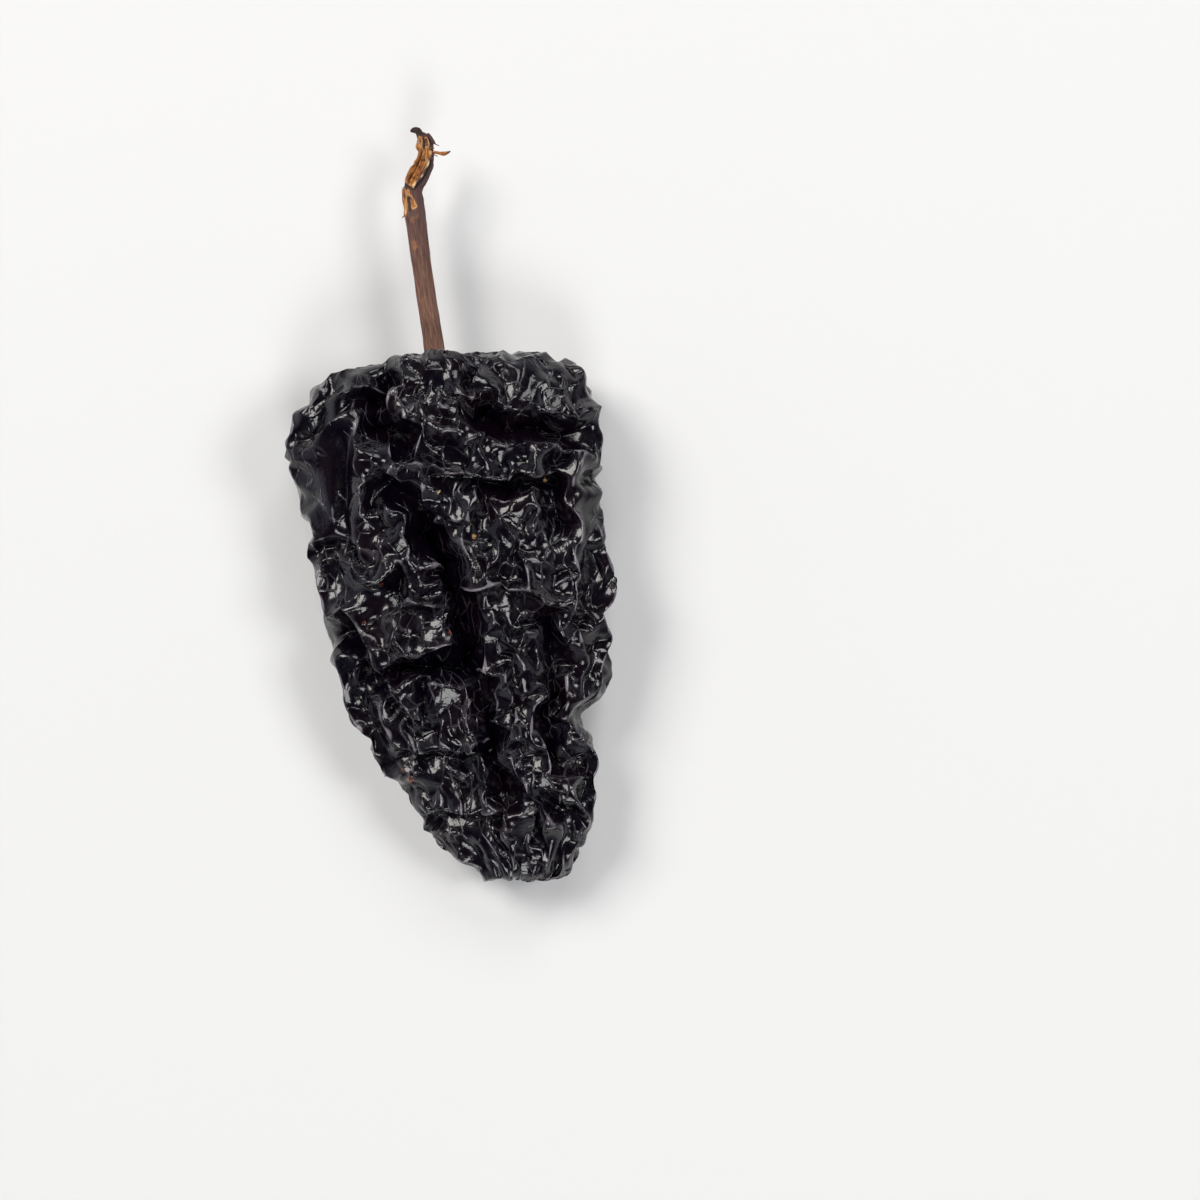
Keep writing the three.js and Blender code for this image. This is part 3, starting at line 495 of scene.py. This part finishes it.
# Painted shade: concave places are darkened towards near black, where shade falls in the folds.
painted_hollow_shade = add(
    tree, "ShaderNodeMapRange", {"Value": crest_of, "From Min": -0.2, "From Max": -0.9, "To Max": 0.8}
)
hollow_shaded_colour = add(
    tree, "ShaderNodeMix",
    {"Factor": painted_hollow_shade.outputs[0], "A": highlighted_colour.outputs["Result"], "B": linear("#030204")},
    data_type="RGBA",
)
ragged = add(tree, "ShaderNodeTexNoise", {"Vector": place, "Scale": 1500, "Detail": 2})
ragged_by = add(
    tree, "ShaderNodeMapRange", {"Value": ragged.outputs["Fac"], "To Min": -0.45, "To Max": 0.45}
)
rust_edge = add(tree, "ShaderNodeMath", {0: rust_of, 1: ragged_by.outputs[0]}, operation="ADD")
rust_part = add(
    tree, "ShaderNodeMapRange",
    {"Value": rust_edge.outputs[0], "From Min": 0.45, "From Max": 0.75, "To Max": 0.9},
)
rusty = add(
    tree, "ShaderNodeMix",
    {"Factor": rust_part.outputs[0], "A": hollow_shaded_colour.outputs["Result"], "B": linear("#682713")},
    data_type="RGBA",
)
tan_edge = add(tree, "ShaderNodeMath", {0: tan_of, 1: ragged_by.outputs[0]}, operation="ADD")
tan_part = add(
    tree, "ShaderNodeMapRange", {"Value": tan_edge.outputs[0], "From Min": 0.5, "From Max": 0.75}
)
skin_colour = add(
    tree, "ShaderNodeMix",
    {"Factor": tan_part.outputs[0], "A": rusty.outputs["Result"], "B": linear("#a88a5c")},
    data_type="RGBA",
)
waxy = add(tree, "ShaderNodeTexNoise", {"Vector": place, "Scale": 800, "Detail": 3, "Roughness": 0.5})
roughness = add(
    tree, "ShaderNodeMapRange",
    {"Value": waxy.outputs["Fac"], "From Min": 0.3, "From Max": 0.7, "To Min": 0.18, "To Max": 0.3},
)
# Crinkles too small for the mesh, about 1.6 mm apart: cell edges pulled out of line by noise.
pull = add(tree, "ShaderNodeTexNoise", {"Vector": place, "Scale": 350})
shifted = add(
    tree, "ShaderNodeVectorMath", {0: pull.outputs["Color"], "Scale": 0.0018}, operation="SCALE"
)
warped = add(tree, "ShaderNodeVectorMath", {0: place, 1: shifted.outputs[0]}, operation="ADD")
crinkle = add(
    tree, "ShaderNodeTexVoronoi", {"Vector": warped.outputs[0], "Scale": 620}, feature="DISTANCE_TO_EDGE"
)
crinkle_height = add(tree, "ShaderNodeMapRange", {"Value": crinkle.outputs["Distance"], "From Max": 0.25})
crinkled = add(
    tree, "ShaderNodeBump", {"Strength": 0.1, "Distance": 0.0002, "Height": crinkle_height.outputs[0]}
)
waxed = add(
    tree, "ShaderNodeBump",
    {"Strength": 0.1, "Distance": 0.0002, "Height": waxy.outputs["Fac"], "Normal": crinkled.outputs[0]},
)
creased = add(
    tree, "ShaderNodeBump",
    {"Strength": 0.6, "Distance": 0.0003, "Height": crease.outputs[0], "Normal": waxed.outputs[0]},
)
shader = tree.nodes["Principled BSDF"]
tree.links.new(skin_colour.outputs["Result"], shader.inputs["Base Color"])
tree.links.new(roughness.outputs[0], shader.inputs["Roughness"])
tree.links.new(creased.outputs[0], shader.inputs["Normal"])
tree.links.new(creased.outputs[0], shader.inputs["Coat Normal"])
# Painted shade in deep folds: their specular and coat are turned down so they read darker than the facets
# between them.
painted_fold_shade = add(
    tree, "ShaderNodeMapRange",
    {"Value": depth_of, "From Min": 1.5, "From Max": 5, "To Min": 0.54, "To Max": 0.06},
)
shine = add(tree, "ShaderNodeMath", {0: painted_fold_shade.outputs[0], 1: 0.32}, operation="MULTIPLY")
tree.links.new(shine.outputs[0], shader.inputs["Specular IOR Level"])
tree.links.new(painted_fold_shade.outputs[0], shader.inputs["Coat Weight"])
shader.inputs["IOR"].default_value = 1.5
shader.inputs["Coat Roughness"].default_value = 0.08

pod = mesh_piece(
    "dried_pod", pod_skin, skin,
    {"crest": crest, "depth": depth, "tan_fleck": tan_fleck, "rust_fleck": rust_fleck},
)
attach(pod, "root")
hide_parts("pod")

# The stem: the dry pedicel and the calyx it spreads into, which grew as one. It was torn from the plant,
# so its bark is stripped from one side of a kinked, split end and the fibrous wood shows golden.

# Middle line (x, y, z), width and depth at each point, in millimetres, from the calyx to the torn tip.
stem_line = [
    (-2.9, 54.2, 14, 6.4, 6.2), (-3.2, 56.6, 14.1, 5.2, 5.1), (-3.9, 60.5, 14.3, 4.9, 4.8),
    (-5, 68, 14.7, 4.7, 4.5), (-6.2, 76, 15, 4.5, 4.3), (-7.4, 84.5, 15.1, 4.6, 4.3),
    (-8.3, 91.5, 15, 4.9, 4.4), (-8.9, 96, 14.8, 4.9, 3.8), (-8.8, 99.3, 14.6, 4.5, 3.1),
    (-7.6, 102, 14.5, 4.7, 2.9), (-6.4, 104.5, 14.6, 4.6, 2.7),
    (-5.8, 107.3, 14.9, 3.6, 2.4), (-5.9, 109.2, 15.1, 3.6, 2.2), (-6.5, 110.6, 15.3, 2.5, 1.9),
    (-7.2, 111.6, 15.5, 1.5, 1.5), (-7.7, 112.5, 15.5, 1.45, 1.3), (-8.5, 112.75, 15.4, 1.2, 1.1),
    (-9.1, 112.5, 15.3, 0.95, 0.8), (-9.35, 112.2, 15.2, 0.4, 0.35),
]
around = np.arange(96) * 2 * np.pi / 96


def calyx_ring(out, up):
    """A ring on the stem cavity's floor, scalloped six times, at a share of its reach and raised by up."""
    ring = pod_form(out * 1.3 * (1 + 0.13 * np.cos(6 * around)), around)
    ring[:, 1] += 0.45 + 1.1 * up
    return ring


def stem_rings(line, t):
    """Ovals square to the line at places t: width times cos across it plus depth times sin above it."""
    at = curve_through(line, t)
    ahead = curve_through(line, t + 0.01)[:, :3] - curve_through(line, t - 0.01)[:, :3]
    ahead /= np.linalg.norm(ahead, axis=1, keepdims=True)
    across = np.stack([ahead[:, 1], -ahead[:, 0], 0 * ahead[:, 0]], 1)
    across /= np.linalg.norm(across, axis=1, keepdims=True)
    above = np.cross(across, ahead)
    wide = at[:, 3, None, None] / 2 * np.cos(around)[None, :, None] * across[:, None]
    deep = at[:, 4, None, None] / 2 * np.sin(around)[None, :, None] * above[:, None]
    return at[:, None, :3] + wide + deep


calyx = [calyx_ring(out, 0) for out in (0.02, 0.3, 0.6, 0.85, 0.96)]
calyx += [calyx_ring(out, up) for out, up in ((1, 0.25), (1, 0.6), (0.93, 0.95), (0.75, 1.2), (0.55, 1.8))]
calyx = curve_through(np.array(calyx), np.linspace(0, 9, 55))
stem_t = np.concatenate([np.linspace(0, 6, 200), np.linspace(6.03, 17.95, 280)])
pedicel = stem_rings(stem_line, stem_t)
flare = np.stack([calyx[-2], calyx[-1], pedicel[0], pedicel[4]])
joint = curve_through(flare, 1 + np.linspace(0.15, 0.85, 6))
stem_grid = np.concatenate([calyx, joint, pedicel])

# The stem straightened out: the same turn on a round rod, so that grain keeps its width along it.
middle = stem_grid.mean(1)
length = np.concatenate([[0], np.cumsum(np.linalg.norm(np.diff(middle, axis=0), axis=1))])
rod = np.stack(
    np.broadcast_arrays(2.4 * np.cos(around)[None], length[:, None], 2.4 * np.sin(around)[None]), -1
)
sx, sy = stem_grid[..., 0], stem_grid[..., 1]

# Where the bark is gone, as lines (x, y) and half widths on the camera's side: a broad panel above the
# kink, a narrower one beside it past a crack, one up the head, and two tongues running down below it.
wood_lines = [
    ([(-9.2, 100.4), (-7.9, 102.4), (-6.5, 104.8), (-5.8, 107.3)], 1.3),
    ([(-9.9, 101.8), (-9.1, 103.3), (-7.9, 105.3), (-7.4, 107.2)], 0.75),
    ([(-7.3, 107), (-7.2, 109.2), (-7, 110.6)], 0.6),
    ([(-5.2, 107.6), (-5.1, 109), (-5.6, 110.4)], 0.4),
    ([(-10.8, 92.2), (-10.9, 95), (-11, 98.2)], 0.6),
    ([(-8.5, 94.3), (-9.2, 96), (-10.1, 97.8)], 0.68),
]
split = [(-8.2, 98.8), (-6.8, 100.3), (-5.6, 102.2), (-4.9, 103.8), (-4.4, 105.2)]
torn_border = [(-8.7, 99.4), (-7.2, 100.7), (-6.1, 102.4), (-5.4, 103.9), (-4.9, 105.1)]
cracks = [
    [(-6.7, 107.4), (-7.9, 104.4), (-8.8, 102.7), (-9.8, 101)], [(-6.2, 108.2), (-6.1, 109.5), (-6.4, 110.6)],
    [(-4.6, 108), (-4.5, 109.4), (-5, 110.6)], [(-11.2, 99.6), (-9.8, 99.1), (-8.6, 98.4)],
    [(-9.9, 96.2), (-9.7, 94.6), (-9.5, 93.2)],
]
pits = [(-6.8, 105.4), (-6.1, 105.3), (-7.7, 101.9), (-9.6, 96.3)]
grain = uneven(rod * [1, 0.1, 1], 1.1, 7)
fibre = uneven(rod * [1, 0.16, 1], 0.6, 11)
frayed = 0.2 * uneven(rod * [1, 0.35, 1], 1.2, 19)
in_front = np.sin(around)[None] > -0.25
bare = np.maximum.reduce([width - distance_to(line, sx, sy) for line, width in wood_lines]) + frayed
bare = np.where(in_front, bare, (sy - 100 + 2 * frayed) * 0.5)
torn = np.clip(bare / 0.3 + 0.5, 0, 1) * (sy > 88) * (sy < 111.2)
split_near = bell(distance_to(split, sx, sy), 0.3) * in_front
crack_near = np.maximum.reduce([bell(distance_to(line, sx, sy), 0.24) for line in cracks]) * in_front
pit_near = np.maximum.reduce([bell(np.hypot(sx - x, sy - y), 0.33) for x, y in pits]) * in_front
# Painted shade in the split, the cracks and the pits, darkening their grooves; the torn tip is also darker.
dark = np.maximum.reduce([split_near, 0.85 * crack_near, pit_near, np.clip((sy - 111.2) / 0.8, 0, 0.7)])
# Pale rims along the torn border and along the bare wood's edge, and a painted highlight on the head.
pale_rim_and_highlight = np.maximum(bell(distance_to(torn_border, sx, sy), 0.24), 0.3 * bell(bare - 0.2, 0.12) * (sy > 88))
pale_rim_and_highlight = np.maximum(pale_rim_and_highlight, bell(np.hypot(sx + 6.4, (sy - 110.4) * 0.6), 0.24)) * in_front * (1 - dark)
past_kink = np.clip((length[:, None] - length[-270]) / 5, 0, 1)

stem_normal = outward(stem_grid)
on_shaft = np.clip((length[:, None] - length[60]) / 3, 0, 1)
ribs = 0.09 * np.cos(5 * around)[None] * on_shaft
relief = ribs + on_shaft * (0.05 * grain + 0.025 * fibre)
relief += torn * (0.14 * grain + 0.09 * fibre - 0.16) - 0.55 * split_near - 0.3 * crack_near - 0.25 * pit_near
relief += past_kink * (0.13 * uneven(rod * [1, 0.5, 1], 2.6, 23) + 0.06 * uneven(rod * [1, 0.6, 1], 1.1, 29))
relief += 0.12 * pale_rim_and_highlight * torn
relief += (1 - on_shaft) * 0.12 * np.cos(18 * around)[None] * np.clip(length[:, None] - 3, 0, 1)
taper = np.clip((length[-1] - length[:, None]) / 1.2, 0, 1)
stem_grid = stem_grid - relief[..., None] * taper[..., None] * stem_normal  # the grid's normals point in
stem_grid = stem_grid[::-1].copy()
rod, torn, dark, pale_rim_and_highlight = (values[::-1].copy() for values in (rod, torn, dark, pale_rim_and_highlight))
calyx_part = np.broadcast_to(1 - on_shaft, torn.shape)[::-1].copy()

# Dry chili stem: woody and matte. Bark is reddish brown with fine grain along it and ochre scuffs; torn
# wood is golden, streaked with brown fibres; the calyx is a duller olive brown.
stem_wood = bpy.data.materials.new("dry_chili_stem")
stem_wood.use_nodes = True
tree = stem_wood.node_tree
along_rod = add(tree, "ShaderNodeAttribute", attribute_name="rod").outputs["Vector"]
torn_of = add(tree, "ShaderNodeAttribute", attribute_name="torn").outputs["Fac"]
dark_of = add(tree, "ShaderNodeAttribute", attribute_name="dark").outputs["Fac"]
pale_rim_and_highlight_of = add(tree, "ShaderNodeAttribute", attribute_name="pale_rim_and_highlight").outputs["Fac"]
calyx_of = add(tree, "ShaderNodeAttribute", attribute_name="calyx").outputs["Fac"]
stretched = add(tree, "ShaderNodeMapping", {"Vector": along_rod, "Scale": (1, 0.09, 1)}, vector_type="POINT")
streaks = add(
    tree, "ShaderNodeTexNoise", {"Vector": stretched.outputs[0], "Scale": 2.6, "Detail": 5, "Roughness": 0.65}
)
blotch = add(tree, "ShaderNodeTexNoise", {"Vector": along_rod, "Scale": 0.28, "Detail": 3})
bark_mix = add(
    tree, "ShaderNodeMapRange", {"Value": streaks.outputs["Fac"], "From Min": 0.34, "From Max": 0.66}
)
bark = add(
    tree, "ShaderNodeMix", {"Factor": bark_mix.outputs[0], "A": linear("#4a2e27"), "B": linear("#86604c")},
    data_type="RGBA",
)
place = add(tree, "ShaderNodeTexCoord").outputs["Object"]
height_up = add(tree, "ShaderNodeSeparateXYZ", {"Vector": place}).outputs["Y"]
darker_up = add(
    tree, "ShaderNodeMapRange",
    {"Value": height_up, "From Min": 0.072, "From Max": 0.1, "To Min": 0.05, "To Max": 0.8},
)
upper_bark = add(
    tree, "ShaderNodeMix",
    {"Factor": darker_up.outputs[0], "A": bark.outputs["Result"], "B": linear("#3a2226")},
    data_type="RGBA",
)
scuffs = add(
    tree, "ShaderNodeMapRange",
    {"Value": blotch.outputs["Fac"], "From Min": 0.66, "From Max": 0.74, "To Max": 0.6},
)
scuffed = add(
    tree, "ShaderNodeMix",
    {"Factor": scuffs.outputs[0], "A": upper_bark.outputs["Result"], "B": linear("#9a6a3c")},
    data_type="RGBA",
)
wood_ramp = add(tree, "ShaderNodeValToRGB", {"Fac": streaks.outputs["Fac"]})
wood_ramp.color_ramp.elements[0].position = 0.32
wood_ramp.color_ramp.elements[0].color = linear("#4a2410")
wood_ramp.color_ramp.elements[1].position = 0.68
wood_ramp.color_ramp.elements[1].color = linear("#dca354")
wood_ramp.color_ramp.elements.new(0.5).color = linear("#a2602a")
mottles = add(tree, "ShaderNodeTexNoise", {"Vector": along_rod, "Scale": 0.9, "Detail": 4, "Roughness": 0.6})
mottled = add(
    tree, "ShaderNodeMapRange",
    {"Value": mottles.outputs["Fac"], "From Min": 0.47, "From Max": 0.62, "To Max": 0.8},
)
mottled_wood = add(
    tree, "ShaderNodeMix",
    {"Factor": mottled.outputs[0], "A": wood_ramp.outputs["Color"], "B": linear("#5c3016")},
    data_type="RGBA",
)
# Pale rims of the torn wood, with a painted highlight on the head.
edged_wood = add(
    tree, "ShaderNodeMix",
    {"Factor": pale_rim_and_highlight_of, "A": mottled_wood.outputs["Result"], "B": linear("#ecd6a8")},
    data_type="RGBA",
)
wooden = add(
    tree, "ShaderNodeMix",
    {"Factor": torn_of, "A": scuffed.outputs["Result"], "B": edged_wood.outputs["Result"]},
    data_type="RGBA",
)
calyx_colour = add(
    tree, "ShaderNodeMix",
    {"Factor": calyx_of, "A": wooden.outputs["Result"], "B": linear("#5a4a34")},
    data_type="RGBA",
)
# Painted shade from the dark mask, in the split, cracks and pits.
darkened = add(
    tree, "ShaderNodeMix",
    {"Factor": dark_of, "A": calyx_colour.outputs["Result"], "B": linear("#120a08")},
    data_type="RGBA",
)
grainy = add(
    tree, "ShaderNodeBump", {"Strength": 0.5, "Distance": 0.0002, "Height": streaks.outputs["Fac"]}
)
shader = tree.nodes["Principled BSDF"]
tree.links.new(darkened.outputs["Result"], shader.inputs["Base Color"])
tree.links.new(grainy.outputs[0], shader.inputs["Normal"])
shader.inputs["Roughness"].default_value = 0.62
shader.inputs["Specular IOR Level"].default_value = 0.35

stem = mesh_piece(
    "pedicel_and_calyx", stem_grid, stem_wood,
    {"rod": rod, "torn": torn, "dark": dark, "pale_rim_and_highlight": pale_rim_and_highlight, "calyx": calyx_part},
)
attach(stem, "root")
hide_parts("stem_with_calyx")

# Torn fibres: thin flat strands of bark and wood that stand off the torn end, rooted inside it.
# Each is a line of (x, y, z, width, depth), how bare its wood is, from 0, bark, to 1, and how dark its
# last third is.
strands = {
    "golden_splinter": (
        [(-6.2, 107, 15, 0.9, 0.7), (-3.9, 107.4, 15.2, 0.75, 0.5), (-2.6, 107.2, 15.3, 0.75, 0.45),
         (-1.5, 107.05, 15.35, 1.05, 0.45), (-0.6, 107.3, 15.3, 0.7, 0.35), (0.1, 107.7, 15.2, 0.3, 0.2)],
        1, 0.8,
    ),
    "dark_splinter": (
        [(-5.6, 109, 15.5, 0.9, 0.6), (-5.3, 111.6, 15.9, 0.5, 0.4), (-4.6, 110.8, 16.2, 0.8, 0.5),
         (-3.9, 109.7, 16.2, 0.75, 0.4), (-3.4, 109.2, 16.1, 0.3, 0.2), (-2.5, 108.8, 16.1, 0.16, 0.12)],
        0, 0.9,
    ),
    "small_whisker": (
        [(-5.4, 106.8, 15.4, 0.4, 0.4), (-3.9, 106.8, 15.5, 0.3, 0.25), (-2.9, 106.3, 15.5, 0.14, 0.12)],
        0.2, 0.5,
    ),
    "short_whisker": (
        [(-5, 107.9, 15.6, 0.5, 0.4), (-4.2, 108.5, 16, 0.3, 0.25), (-3.7, 108.2, 16.1, 0.14, 0.12)],
        0.4, 0.4,
    ),
    "peeled_strip": (
        [(-10.2, 94.5, 14.8, 0.9, 0.6), (-10.75, 93.2, 15.2, 0.6, 0.4), (-10.9, 92.2, 15.4, 0.4, 0.3),
         (-11.5, 91.6, 15.5, 0.16, 0.12)],
        1, 0.7,
    ),
}
around = np.arange(12) * 2 * np.pi / 12
for name, (line, bareness, dark_end) in strands.items():
    ends = np.array(line, float)
    grid = stem_rings(ends, np.linspace(0, len(line) - 1, 12 * len(line)))
    root = grid[:1] * 0 + grid[:1].mean(1, keepdims=True)
    grid = np.concatenate([root, grid, grid[-1:] * 0 + ends[-1, :3]])
    share = np.linspace(0, 1, len(grid))[:, None] + 0 * around
    rod = np.stack([0.5 * np.cos(around) + 0 * share, 5 * share, 0.5 * np.sin(around) + 0 * share], -1)
    flat = np.zeros(grid.shape[:2])
    strand = mesh_piece(
        name, grid[::-1].copy(), stem_wood,
        {
            "rod": rod[::-1] + 7, "torn": flat + bareness, "pale_rim_and_highlight": flat, "calyx": flat,
            "dark": dark_end * np.clip(share[::-1] * 4 - 3, 0, 1),
        },
    )
    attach(strand, "root")

# The table: a plain round top under matte white paper, far wider than the camera sees.
white = bpy.data.materials.new("white_paper")
white.use_nodes = True
tree = white.node_tree
place = add(tree, "ShaderNodeTexCoord").outputs["Object"]
tooth = add(tree, "ShaderNodeTexNoise", {"Vector": place, "Scale": 900, "Detail": 2})
pressed = add(tree, "ShaderNodeBump", {"Strength": 0.05, "Distance": 0.0002, "Height": tooth.outputs["Fac"]})
tree.links.new(pressed.outputs[0], tree.nodes["Principled BSDF"].inputs["Normal"])
tree.nodes["Principled BSDF"].inputs["Base Color"].default_value = linear("#dfdfdf")
tree.nodes["Principled BSDF"].inputs["Roughness"].default_value = 0.85
floor_mesh = bpy.data.meshes.new("table")
table_radius = 1.5
turn = np.arange(96) * 2 * np.pi / 96
rim = np.stack([table_radius * np.cos(turn), table_radius * np.sin(turn), 0 * turn], 1)
floor_mesh.from_pydata(rim.tolist(), [], [list(range(96))])
floor_mesh.materials.append(white)
table = bpy.data.objects.new("table", floor_mesh)
bpy.context.scene.collection.objects.link(table)


# Studio light: a key from the upper left, weaker lamps from the other sides, and a pale surround that is
# darker overhead, so that facets turned to the camera stay black and only tilted ones shine.
def softbox(name, place, size, watts, colour):
    """A square area light at a place, turned to the middle of the pod."""
    light = bpy.data.lights.new(name, "AREA")
    light.size, light.energy, light.color = size, watts, linear(colour)[:3]
    lamp = bpy.data.objects.new(name, light)
    lamp.location = place
    lamp.rotation_euler = (Vector((0, 0, 0.01)) - Vector(place)).to_track_quat("-Z", "Y").to_euler()
    bpy.context.scene.collection.objects.link(lamp)


softbox("key", (-1.2, 1, 1.6), 1, 36, "#fffdf8")
softbox("right", (1.3, 0.2, 1.5), 0.7, 16, "#ffffff")
softbox("front", (0.2, -1.4, 1.4), 0.7, 13.5, "#ffffff")
softbox("back", (0.4, 1.5, 1.2), 0.7, 9, "#ffffff")
softbox("left_panel", (-1.8, -0.1, 0.7), 1.2, 2.4, "#e6ebff")
world = bpy.data.worlds.new("studio")
world.use_nodes = True
bpy.context.scene.world = world
tree = world.node_tree
way = add(tree, "ShaderNodeTexCoord").outputs["Generated"]
upward = add(tree, "ShaderNodeSeparateXYZ", {"Vector": way}).outputs["Z"]
pale_walls = add(
    tree, "ShaderNodeMapRange",
    {"Value": upward, "From Min": 0.04, "From Max": 0.5, "To Min": 0.6, "To Max": 0.015},
    interpolation_type="SMOOTHERSTEP",
)
to_left = add(tree, "ShaderNodeVectorMath", {0: way, 1: (-0.5, 0.05, 0.865)}, operation="DOT_PRODUCT")
left_glow = add(
    tree, "ShaderNodeMapRange",
    {"Value": to_left.outputs["Value"], "From Min": 0.8, "From Max": 1, "To Max": 0.14},
)
past_table = add(
    tree, "ShaderNodeMapRange",
    {"Value": upward, "From Min": 0, "From Max": 0.08, "To Min": 0.25, "To Max": 0},
)
walls = add(tree, "ShaderNodeMath", {0: pale_walls.outputs[0], 1: past_table.outputs[0]}, operation="ADD")
strength = add(tree, "ShaderNodeMath", {0: walls.outputs[0], 1: left_glow.outputs[0]}, operation="ADD")
tree.links.new(strength.outputs[0], tree.nodes["Background"].inputs["Strength"])
tree.nodes["Background"].inputs["Color"].default_value = linear("#eff1fd")

# Colours come out as they are given, with no film curve over them.
bpy.context.scene.view_settings.view_transform = "Standard"

# The camera looks straight down on the middle of the photograph, as it was taken.
lens = bpy.data.cameras.new("camera")
lens.lens, lens.sensor_width = 70, 36
lens.clip_start = 0.01
camera = bpy.data.objects.new("camera", lens)
camera.location = (0.036, 0, 0.575)
bpy.context.scene.collection.objects.link(camera)
bpy.context.scene.camera = camera
